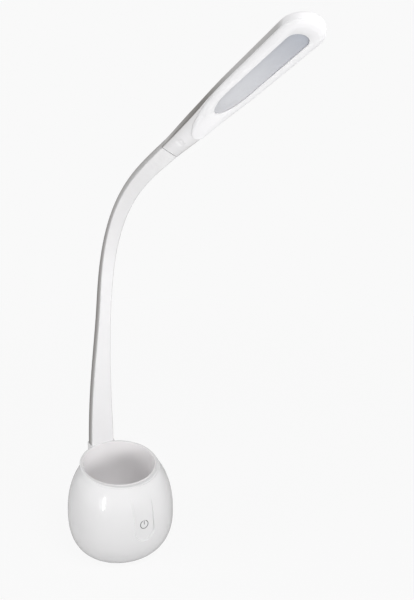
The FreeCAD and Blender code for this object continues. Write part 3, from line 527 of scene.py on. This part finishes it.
def sleeveTree():
    tree = bpy.data.node_groups.new("sleeveAlongLine", "GeometryNodeTree")
    addInputs(tree, {"Geometry": "Geometry", "Line": "Object", "Tail": "Float", "Start": "Float", "End": "Float",
                     "Length": "Float", "Root Width": "Float", "Width": "Float", "Thickness": "Float",
                     "Corner": "Float", "Taper End": "Float", "Waist": "Float", "Roll": "Float", "Rings": "Int",
                     "Material": "Material"})
    graph = Graph(tree)
    given = graph.node("NodeGroupInput")
    value = {socket.name: Flow(graph, socket) for socket in given.outputs}
    line = graph.flow("GeometryNodeObjectInfo", values={"Object": value["Line"]}, output=4)
    trimmed = graph.flow("GeometryNodeTrimCurve", {"mode": "LENGTH"}, {
        0: line, 4: value["Start"] + value["Tail"], 5: value["End"] + value["Tail"]})
    rings = graph.flow("GeometryNodeResampleCurve", values={"Curve": trimmed, "Count": value["Rings"]})
    travelled = graph.flow("GeometryNodeSplineParameter", output=1) + value["Start"]
    share = travelled / value["Length"]
    rolled = graph.math("DIVIDE", share - value["Taper End"], 1 - value["Taper End"], True) * value["Roll"]
    t = graph.math("DIVIDE", share, value["Taper End"], True)
    waist = graph.math("MULTIPLY", share * 4, 1 - share, True) * value["Waist"]
    spread = (value["Root Width"] - value["Width"]) * (1 - t * t * (3 - 2 * t)) * 0.5 - waist
    upright = graph.flow("GeometryNodeSetCurveNormal", {"mode": "Z_UP"}, {"Curve": rings})
    tilted = graph.flow("GeometryNodeSetCurveTilt", values={"Curve": upright, "Tilt": rolled})
    across = graph.flow("GeometryNodeInputNormal")
    middle = graph.flow("GeometryNodeInputPosition")
    kept = tilted
    for name, kind, field in (("lineNormal", "FLOAT_VECTOR", across), ("linePlace", "FLOAT_VECTOR", middle),
                              ("lineSpread", "FLOAT", spread)):
        kept = graph.flow("GeometryNodeStoreNamedAttribute", {"data_type": kind, "domain": "POINT"},
                          {"Geometry": kept, "Name": name, "Value": field})
    outline = graph.flow("GeometryNodeCurvePrimitiveQuadrilateral",
                         values={"Width": value["Width"], "Height": value["Thickness"]})
    rounded = graph.flow("GeometryNodeFilletCurve", {"mode": "POLY"}, {"Curve": outline, "Count": 6,
                                                                      "Radius": value["Corner"]})
    fine = graph.flow("GeometryNodeSubdivideCurve", values={"Curve": rounded, "Cuts": 2})
    tube = graph.flow("GeometryNodeCurveToMesh", values={"Curve": kept, "Profile Curve": fine, "Fill Caps": True})
    read = {name: graph.flow("GeometryNodeInputNamedAttribute", {"data_type": kind}, {"Name": name})
            for name, kind in (("lineNormal", "FLOAT_VECTOR"), ("linePlace", "FLOAT_VECTOR"), ("lineSpread", "FLOAT"))}
    away = graph.vector("SUBTRACT", graph.flow("GeometryNodeInputPosition"), read["linePlace"])
    aside = graph.vector("DOT_PRODUCT", away, read["lineNormal"], 1)
    flat = value["Width"] * 0.5 - value["Corner"]
    push = graph.math("MINIMUM", graph.math("MAXIMUM", aside / flat, -1), 1) * read["lineSpread"]
    shift = graph.flow("ShaderNodeVectorMath", {"operation": "SCALE"}, {0: read["lineNormal"], "Scale": push})
    moved = graph.flow("GeometryNodeSetPosition", values={"Geometry": tube, "Offset": shift})
    real = graph.flow("GeometryNodeRealizeInstances", values={"Geometry": moved})
    done = graph.flow("GeometryNodeSetMaterial", values={"Geometry": real, "Material": value["Material"]})
    graph.node("NodeGroupOutput", values={"Geometry": done})
    return tree


def runTree(name, tree, inputs, material):
    holder = bpy.data.objects.new(name + "Maker", bpy.data.meshes.new(name + "Maker"))
    bpy.context.collection.objects.link(holder)
    modifier = holder.modifiers.new("maker", "NODES")
    modifier.node_group = tree
    for item in tree.interface.items_tree:
        if item.in_out == "INPUT" and item.name in inputs:
            modifier[item.identifier] = inputs[item.name]
    bpy.context.view_layer.update()
    made = bpy.data.meshes.new_from_object(holder.evaluated_get(bpy.context.evaluated_depsgraph_get()))
    holder.modifiers.clear()
    bpy.data.objects.remove(holder)
    return makePiece(name, [v.co for v in made.vertices], [tuple(p.vertices) for p in made.polygons], material, 60)


def sleeveInputs(start, end, line, leadRadius=None, n=neckSizes):
    inputs = {"Line": line, "Tail": n["tail"] * mm, "Start": start * mm, "End": end * mm,
              "Length": n["length"] * mm, "Root Width": n["rootWidth"] * mm, "Width": n["width"] * mm,
              "Thickness": n["thickness"] * mm, "Corner": n["corner"] * mm, "Taper End": n["taperEnd"],
              "Waist": n["waist"] * mm, "Roll": -math.radians(n["roll"]),
              "Rings": max(int((end - start) / 1.5), 8), "Material": materials["softWhite"]}
    if leadRadius:
        wide = 2 * leadRadius * mm
        inputs.update({"Root Width": wide, "Width": wide, "Thickness": wide, "Corner": wide * 0.49,
                       "Waist": 0.0, "Material": materials["leadBlack"]})
    return inputs


def makeNeck(n=neckSizes):
    tree, line = sleeveTree(), neckCurve()
    halfPitch = n["pitch"] / 2
    bends = [n["firstBend"] + n["pitch"] * i for i in range(n["bends"])]
    boot = runTree("sleeveBoot", tree, sleeveInputs(-n["boot"], bends[0] - halfPitch, line), "softWhite")
    markPaintedShade(boot, sleeveShadeShare)
    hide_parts("sleeve_boot")
    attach(boot, "base")
    for i, place in enumerate(bends):
        start, end = place - halfPitch, place + halfPitch
        for name, node, leadRadius, material in ((f"sleeve{i + 1}", f"neck_sleeve_{i + 1}", None, "softWhite"),
                                                 (f"lead{i + 1}", f"neck_lead_{i + 1}", n["lead"], "leadBlack")):
            piece = runTree(name, tree, sleeveInputs(start, end, line, leadRadius), material)
            if not leadRadius:
                markPaintedShade(piece, sleeveShadeShare)
            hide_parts(node)
            neckPoint(start + 2) * mm
            neckPoint(end - 2) * mm
            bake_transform(piece)
    seam = bends[-1] + halfPitch
    top = runTree("sleeveTop", tree, sleeveInputs(seam, n["length"] - n["headGap"], line), "softWhite")
    markPaintedShade(top, sleeveShadeShare)
    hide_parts("sleeve_top")
    neckPoint(seam + 1) * mm
    neckPoint(n["length"] - 1) * mm
    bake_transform(top)
    bpy.data.objects.remove(line)


def halfAt(s, n=neckSizes):
    share = min(max(s / n["length"], 0), 1)
    spread = (n["rootWidth"] - n["width"]) / 2 * (1 - ease(share / n["taperEnd"]))
    return n["width"] / 2 + spread - 4 * share * (1 - share) * n["waist"]


# stores how much painted shade each vertex gets, in the 'side' attribute
def markPaintedShade(piece, shareAt):
    marks = piece.data.attributes.new("side", "FLOAT", "POINT")
    for vertex, mark in zip(piece.data.vertices, marks.data):
        mark.value = shareAt(vertex.co / mm)


# painted shade on the sleeve: full on its narrow sides, a little on its front high up
def sleeveShadeShare(place, n=neckSizes, b=sleeveShadeSpread):
    near, low, high = 0.0, -n["boot"], n["length"]
    for step in (8.0, 1.0):
        tries = [low + step * i for i in range(int((high - low) / step) + 1)]
        near = min(tries, key=lambda s: (neckLine[round(s)] - place).length)
        low, high = max(near - step, -n["boot"]), min(near + step, n["length"])
    across, _, front = neckAxes(near)
    away = place - neckLine[round(near)]
    sideShade = ease((abs(away.dot(across)) - halfAt(near) + n["corner"]) / n["corner"])
    back = min(max(0.5 - away.dot(front) / n["thickness"], 0), 1)
    raised = ease((near - b["highStart"]) / b["highSpan"])
    return mix(b["highFace"] * raised, mix(b["front"], mix(b["back"], b["highBack"], raised), back), sideShade)


neckLine = {s: neckPoint(s) for s in range(-int(neckSizes["boot"]), int(neckSizes["length"]) + 1)}
makeNeck()
print("neck made")

socketSizes = {"wall": 1.0, "gap": 0.15, "low": -22.0, "edge": 0.5, "columns": 12}


def socketRing(s, grow, n=neckSizes):
    across, _, front = neckAxes(s)
    a, b, r = n["rootWidth"] / 2 + grow, n["thickness"] / 2 + grow, n["corner"] + grow
    ring = []
    for sx, sz, first in ((1, 1, 0), (-1, 1, 90), (-1, -1, 180), (1, -1, 270)):
        for k in range(socketSizes["columns"]):
            angle = math.radians(first + 90 * k / (socketSizes["columns"] - 1))
            ring.append(neckPoint(s) + across * (sx * (a - r) + r * math.cos(angle))
                        + front * (sz * (b - r) + r * math.sin(angle)))
    return ring


def makeNeckSocket(s=socketSizes):
    outer, edge = s["wall"] + s["gap"], s["edge"]
    rings = [(s["low"], outer, None), (-12.0, outer, None), (-4.0, outer, None), (0.0, outer, None)]
    rings += [(0.0, outer - edge * (1 - math.cos(a)), edge * (math.sin(a) - 1)) for a in (0, 0.5, 1.0, math.pi / 2)]
    rings += [(0.0, s["gap"], 0.0), (-4.0, s["gap"], None), (s["low"], s["gap"], None)]
    points = []
    for place, grow, drop in rings:
        for point in socketRing(place, grow):
            if drop is not None:
                along = neckAxes(0)[1]
                lift = (mouthHeight(point.y) - point.z) / (along.z - along.y * math.tan(eggSizes["slope"]))
                point = point + along * (lift + drop)
            points.append(point * mm)
    return makePiece("neckSocket", points, gridFaces(len(rings), 4 * s["columns"], True, True), "shellWhite", 50)


neckSocket = makeNeckSocket()
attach(neckSocket, "base")

# ---- head, made flat: x across, y from the seam to the tip, z out of the lit face ----
headSizes = {
    "length": 186.0, "tipWidth": 29.8, "midWidth": 27.8, "mid": 102.0, "side": 2.15, "crown": 1.3, "thin": 92.0,
    "topRound": 2.0, "lowRound": 0.3, "bezelRise": 2.65, "flank": 4.6, "heelFlank": 1.1, "bezelStart": 31.5,
    "bezelPoint": 50.0, "bezelLean": 5.0, "leanLength": 70.0, "bezelInset": 0.2,
    "lensStart": 70.8, "lensEnd": 174.6, "lensWidth": 15.0, "lensPoint": 32.6, "sink": 0.7,
    "dimple": 18.0, "dimpleRadius": 3.8, "dimpleDepth": 0.42, "roll": 17.5, "untwist": 72.0,
}
# how far the painted shade covers the head: its side from the seam outwards, fading towards the tip, and a painted
# shade across the stem's lit face that grows towards its edges
headShadeSpread = {"seam": 0.8, "full": 30.0, "fadeStart": 68.0, "fadeSpan": 55.0, "far": 0.52, "end": 167.0, "endSpan": 9.0,
            "corner": 0.5, "face": 0.10, "faceEdge": 0.2, "faceEnd": 60.0, "faceSpan": 30.0}


def halfWidth(u, h=headSizes, n=neckSizes):
    t = min(u / h["mid"], 1)
    share = 0.5 * t + 0.25 * (1 - math.cos(math.pi * t))
    late = max(u - h["mid"], 0) / (h["length"] - h["tipWidth"] / 2 - h["mid"])
    return n["width"] / 2 + (h["midWidth"] - n["width"]) / 2 * share + (h["tipWidth"] - h["midWidth"]) / 2 * late


def underSide(u, h=headSizes, n=neckSizes):
    return mix(n["thickness"] / 2, h["side"], ease(u / h["thin"]))


def topSide(u, h=headSizes, n=neckSizes):
    return mix(n["thickness"] / 2, h["side"] + h["crown"], ease(u / h["thin"]))


def coverProfile(u, h=headSizes, n=neckSizes):
    thin = ease(u / h["thin"])
    a, top, low = halfWidth(u), -topSide(u), underSide(u)
    rTop, rLow = mix(n["corner"], h["topRound"], thin), mix(n["corner"], h["lowRound"], thin)
    profile = [((a - rTop) * i / 6, top) for i in range(6)]
    profile += [(a - rTop + rTop * math.sin(i * math.pi / 16), top + rTop * (1 - math.cos(i * math.pi / 16)))
                for i in range(9)]
    profile += [(a - rLow + rLow * math.cos(i * math.pi / 16), low - rLow * (1 - math.sin(i * math.pi / 16)))
                for i in range(9)]
    profile += [((a - rLow) * (1 - i / 16), low) for i in range(1, 17)]
    return profile


def stations(h=headSizes):
    tip = h["length"] - h["tipWidth"] / 2
    fine = [h["dimple"] + (i - 14) * 0.4 for i in range(29)]
    early = [0, 0.3, 3, 6, 9, 12]
    late = [25 + i * 2.5 for i in range(int((tip - 25) / 2.5) + 1)]
    return early + [u for u in fine if u > 12.5] + late + [tip]


def headPlace(x, u, z, h=headSizes, n=neckSizes):
    roll = mix(n["roll"], h["roll"], ease(u / h["untwist"]))
    across, along, front = rolledAxes(n["length"], math.radians(roll))
    return (neckPoint(n["length"]) + across * x + along * u + front * z) * mm


def dimpleDip(x, u, h=headSizes):
    away = math.hypot(x, u - h["dimple"]) / h["dimpleRadius"]
    return h["dimpleDepth"] * ease((1 - away) * 2.2 + 0.25) if away < 1.3 else 0


def makeCover(h=headSizes):
    tip = h["length"] - h["tipWidth"] / 2
    right = [[(x, u, z) for x, z in coverProfile(u)] for u in stations()]
    turned = [[(x * math.cos(a), tip + x * math.sin(a), z) for x, z in coverProfile(tip)]
              for a in [i * math.pi / 32 for i in range(1, 32)]]
    left = [[(-x, u, z) for x, u, z in row] for row in reversed(right)]
    rows = right + turned + left
    points = []
    for row in rows:
        for x, u, z in row:
            if z > 0 and abs(z - underSide(u)) < 0.01:
                z -= dimpleDip(x, u)
            points.append(headPlace(x, u, z))
    columns = len(right[0])
    faces = gridFaces(len(rows), columns)
    faces.append(tuple(range(columns)) + tuple(range(len(points) - 1, len(points) - columns - 1, -1)))
    cover = makePiece("headCover", points, faces, "headWhite", 40)
    markPaintedShade(cover, headShadeShare)
    return cover


# painted shade on the head's narrow sides and across the stem's face, as a share for the 'side' attribute
def headShadeShare(place, h=headSizes, n=neckSizes, b=headShadeSpread):
    away = place - neckPoint(n["length"])
    u = away.dot(rolledAxes(n["length"], 0)[1])
    roll = mix(n["roll"], h["roll"], ease(u / h["untwist"]))
    x = abs(away.dot(rolledAxes(n["length"], math.radians(roll))[0]))
    corner = mix(n["corner"], b["corner"], ease(u / h["thin"]))
    deep = mix(b["seam"], 1.0, ease(u / b["full"])) * mix(1, b["far"], ease((u - b["fadeStart"]) / b["fadeSpan"]))
    deep *= 1 - ease((u - b["end"]) / b["endSpan"])
    face = (b["face"] + b["faceEdge"] * (x / halfWidth(u)) ** 2) * (1 - ease((u - b["faceEnd"]) / b["faceSpan"]))
    return mix(face, deep, ease((x - halfWidth(u) + corner) / corner))


def slotOutline(start, end, half, point, sides=24):
    outline = []
    for i in range(17):
        angle = math.pi / 2 * i / 16
        outline.append((half(start + point) * math.sin(angle), start + point * (1 - math.cos(angle))))
    far = end - half(end)
    for i in range(1, sides + 1):
        u = mix(start + point, far, i / sides)
        outline.append((half(u), u))
    for i in range(1, 17):
        angle = math.pi / 2 * i / 16
        outline.append((half(far) * math.cos(angle), far + half(far) * math.sin(angle)))
    return outline + [(-x, u) for x, u in reversed(outline[1:-1])]


def insetOutline(outline, depths):
    moved = []
    for i, (x, u) in enumerate(outline):
        (x0, u0), (x1, u1) = outline[i - 1], outline[(i + 1) % len(outline)]
        way = Vector((x1 - x0, u1 - u0)).normalized()
        moved.append((x - way.y * depths[i], u + way.x * depths[i]))
    return moved


def makeBezel(h=headSizes):
    inset = h["bezelInset"]
    outer = slotOutline(h["bezelStart"], h["length"] - inset, lambda u: halfWidth(min(u, h["length"])) - inset,
                        h["bezelPoint"])
    outer = [(min(x + h["bezelLean"] * (1 - ease((u - h["bezelStart"]) / h["leanLength"])), halfWidth(u) - inset), u)
             for x, u in outer]
    lens = slotOutline(h["lensStart"], h["lensEnd"], lambda u: h["lensWidth"] / 2, h["lensPoint"])
    tall = h["side"] + h["bezelRise"]
    flank = [mix(h["heelFlank"], h["flank"], ease((u - h["bezelStart"]) / h["bezelPoint"] * 1.1)) for x, u in outer]
    loops = []
    for depth, rise in ((0.0, -0.2), (0.0, 0.18), (0.02, 0.24), (0.10, 0.40), (0.24, 0.58), (0.42, 0.75),
                        (0.62, 0.88), (0.8, 0.96), (0.94, 0.995), (1.0, 1.0), (1.06, 1.0)):
        ring = insetOutline(outer, [f * depth for f in flank])
        loops.append([(x, u, mix(underSide(u) + 0.05, tall, rise)) for x, u in ring])
    loops.append([(mix(x, xo, 0.02), mix(u, uo, 0.02), tall) for (x, u), (xo, uo) in zip(lens, outer)])
    loops.append([(x, u, tall - 0.12) for x, u in lens])
    loops.append([(x, u, tall - 1.3) for x, u in lens])
    loops.append([(x, u, underSide(u) - 0.4) for x, u in outer])
    points = [headPlace(*p) for ring in loops for p in ring]
    return makePiece("headBezel", points, gridFaces(len(loops), len(outer), True, True), "headWhite", 40)


def makeLens(h=headSizes):
    outline = slotOutline(h["lensStart"], h["lensEnd"], lambda u: h["lensWidth"] / 2, h["lensPoint"])
    tall = h["side"] + h["bezelRise"] - h["sink"]
    loops = [[(x, u, tall) for x, u in insetOutline(outline, [0.3] * len(outline))],
             [(x, u, tall - 0.12) for x, u in insetOutline(outline, [0.05] * len(outline))],
             [(x, u, tall - 1.4) for x, u in insetOutline(outline, [0.05] * len(outline))]]
    points = [headPlace(*p) for ring in loops for p in ring]
    count = len(outline)
    faces = gridFaces(3, count, False, True)
    faces += [tuple(range(count)), tuple(range(3 * count - 1, 2 * count - 1, -1))]
    return makePiece("lampLens", points, faces, "lensFrost", 40)


# a dark thin plate just inside the seam of neck and head: a painted shadow in the joint
jointShadowSizes = {"inset": 0.45, "low": -0.9, "high": 0.15}


def makeJointShadow(s=jointShadowSizes, n=neckSizes):
    a, b = n["width"] / 2 - s["inset"], n["thickness"] / 2 - s["inset"]
    outline = [(sx * a - sx * n["corner"] * (1 - math.cos(t)), sz * b - sz * n["corner"] * (1 - math.sin(t)))
               for sx, sz, turns in ((1, 1, (0, 0.8, 1.57)), (-1, 1, (1.57, 0.8, 0)),
                                     (-1, -1, (0, 0.8, 1.57)), (1, -1, (1.57, 0.8, 0))) for t in turns]
    points = [headPlace(x, u, z) for u in (s["low"], s["high"]) for x, z in outline]
    count = len(outline)
    faces = gridFaces(2, count, False, True) + [tuple(range(count)), tuple(range(2 * count - 1, count - 1, -1))]
    return makePiece("stemGasket", points, faces, "blackPlastic", 40)


# the painted joint shadow rides with the head
stemGasket = makeJointShadow()
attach(stemGasket, "head")
for piece, node, slotName in ((makeCover(), "head_cover", "gloss_white"),
                              (makeBezel(), "head_bezel", "gloss_white"), (makeLens(), "lens", "lens_frost")):
    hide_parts(node)
    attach(piece, "head")
print("head made")

# ---- floor, backdrop and light ----
stageSizes = {"floor": 6.0, "backdrop": (0.947, 0.947, 0.947), "worldLight": 0.28, "matt": 0.68,
              "fadeStart": 0.35, "fadeEnd": 1.1, "nearShare": 0.93, "nearGlow": 1.54, "farGlow": 1.0}
# panes show only as reflections, the other lamps give only plain light
lamps = {
    "keyLight": {"place": (0.32, -2.0, 0.32), "aim": (0, -0.05, 0.25), "size": (1.0, 0.5), "power": 13},
    "topLight": {"place": (0.20, -1.4, 2.0), "aim": (0, -0.05, 0.2), "size": (1.2, 1.0), "power": 22},
    "leftLight": {"place": (-1.7, 0.25, 0.55), "aim": (0, -0.05, 0.2), "size": (1.0, 0.9), "power": 15},
    "underLight": {"place": (0.12, -1.0, 0.16), "aim": (0, -0.12, 0.43), "size": (0.5, 0.2), "power": 0.42,
                   "spread": 60},
    "lowLight": {"place": (0.0, -0.18, 0.13), "aim": (0, -0.20, 0.45), "size": (0.12, 0.20), "power": 0.05,
                 "spread": 80},
    "paneLeft": {"place": (-0.557, -0.215, 0.165), "aim": (0, -0.05, 0.165), "size": (0.016, 0.16),
                 "power": 0.05, "pane": True},
    "paneRight": {"place": (-0.523, -0.294, 0.165), "aim": (0, -0.05, 0.165), "size": (0.028, 0.20),
                  "power": 0.40, "pane": True},
}


def addFloor(s=stageSizes):
    half = s["floor"]
    mesh = bpy.data.meshes.new("floor")
    mesh.from_pydata([(-half, -half, 0), (half, -half, 0), (half, half, 0), (-half, half, 0)], [], [(0, 1, 2, 3)])
    floor = bpy.data.objects.new("floor", mesh)
    bpy.context.collection.objects.link(floor)
    material = bpy.data.materials.new("floorWhite")
    material.use_nodes = True
    material.cycles.emission_sampling = "NONE"
    graph = Graph(material.node_tree)
    graph.tree.nodes.clear()
    sight = graph.node("ShaderNodeLightPath")
    matt = graph.flow("ShaderNodeBsdfDiffuse", values={"Color": (s["matt"], s["matt"], s["matt"], 1)})
    glow = graph.flow("ShaderNodeEmission", values={"Color": (*s["backdrop"], 1), "Strength": 1.0})
    away = graph.vector("LENGTH", objectPlace(graph), output=1)
    spread = graph.flow("ShaderNodeMapRange", {"interpolation_type": "SMOOTHSTEP"}, {
        "Value": away, "From Min": s["fadeStart"], "From Max": s["fadeEnd"],
        "To Min": s["nearShare"], "To Max": 1.0})
    seen = Flow(graph, sight.outputs["Is Camera Ray"]) * spread
    strength = s["nearGlow"] - spread * (s["nearGlow"] - s["farGlow"])
    graph.tree.links.new(strength.socket, glow.socket.node.inputs["Strength"])
    shade = graph.flow("ShaderNodeMixShader", values={0: seen, 1: matt, 2: glow})
    graph.node("ShaderNodeOutputMaterial", values={"Surface": shade})
    mesh.materials.append(material)


def addWorld(s=stageSizes):
    world = bpy.data.worlds.new("studio")
    bpy.context.scene.world = world
    world.use_nodes = True
    graph = Graph(world.node_tree)
    graph.tree.nodes.clear()
    sight = graph.node("ShaderNodeLightPath")
    seen = graph.math("MAXIMUM", Flow(graph, sight.outputs["Is Camera Ray"]),
                      Flow(graph, sight.outputs["Is Transmission Ray"]))
    seen = graph.math("MAXIMUM", seen, Flow(graph, sight.outputs["Is Glossy Ray"]))
    bright = seen * (1 - s["worldLight"]) + s["worldLight"]
    back = graph.flow("ShaderNodeBackground", values={"Color": (*s["backdrop"], 1), "Strength": bright})
    graph.node("ShaderNodeOutputWorld", values={"Surface": back})


def addLamps():
    for name, sizes in lamps.items():
        data = bpy.data.lights.new(name, "AREA")
        data.shape = "RECTANGLE"
        data.size, data.size_y = sizes["size"]
        data.energy = sizes["power"]
        lamp = bpy.data.objects.new(name, data)
        bpy.context.collection.objects.link(lamp)
        lamp.location = sizes["place"]
        lamp.visible_glossy = "pane" in sizes
        lamp.visible_diffuse = "pane" not in sizes
        lamp.visible_camera = False
        data.spread = math.radians(sizes.get("spread", 180))
        toward = Vector(sizes["aim"]) - Vector(sizes["place"])
        lamp.rotation_mode = "QUATERNION"
        lamp.rotation_quaternion = toward.to_track_quat("-Z", "Y")


addFloor()
addWorld()
addLamps()
bpy.context.scene.view_settings.view_transform = "Standard"
print("stage and lamps set")
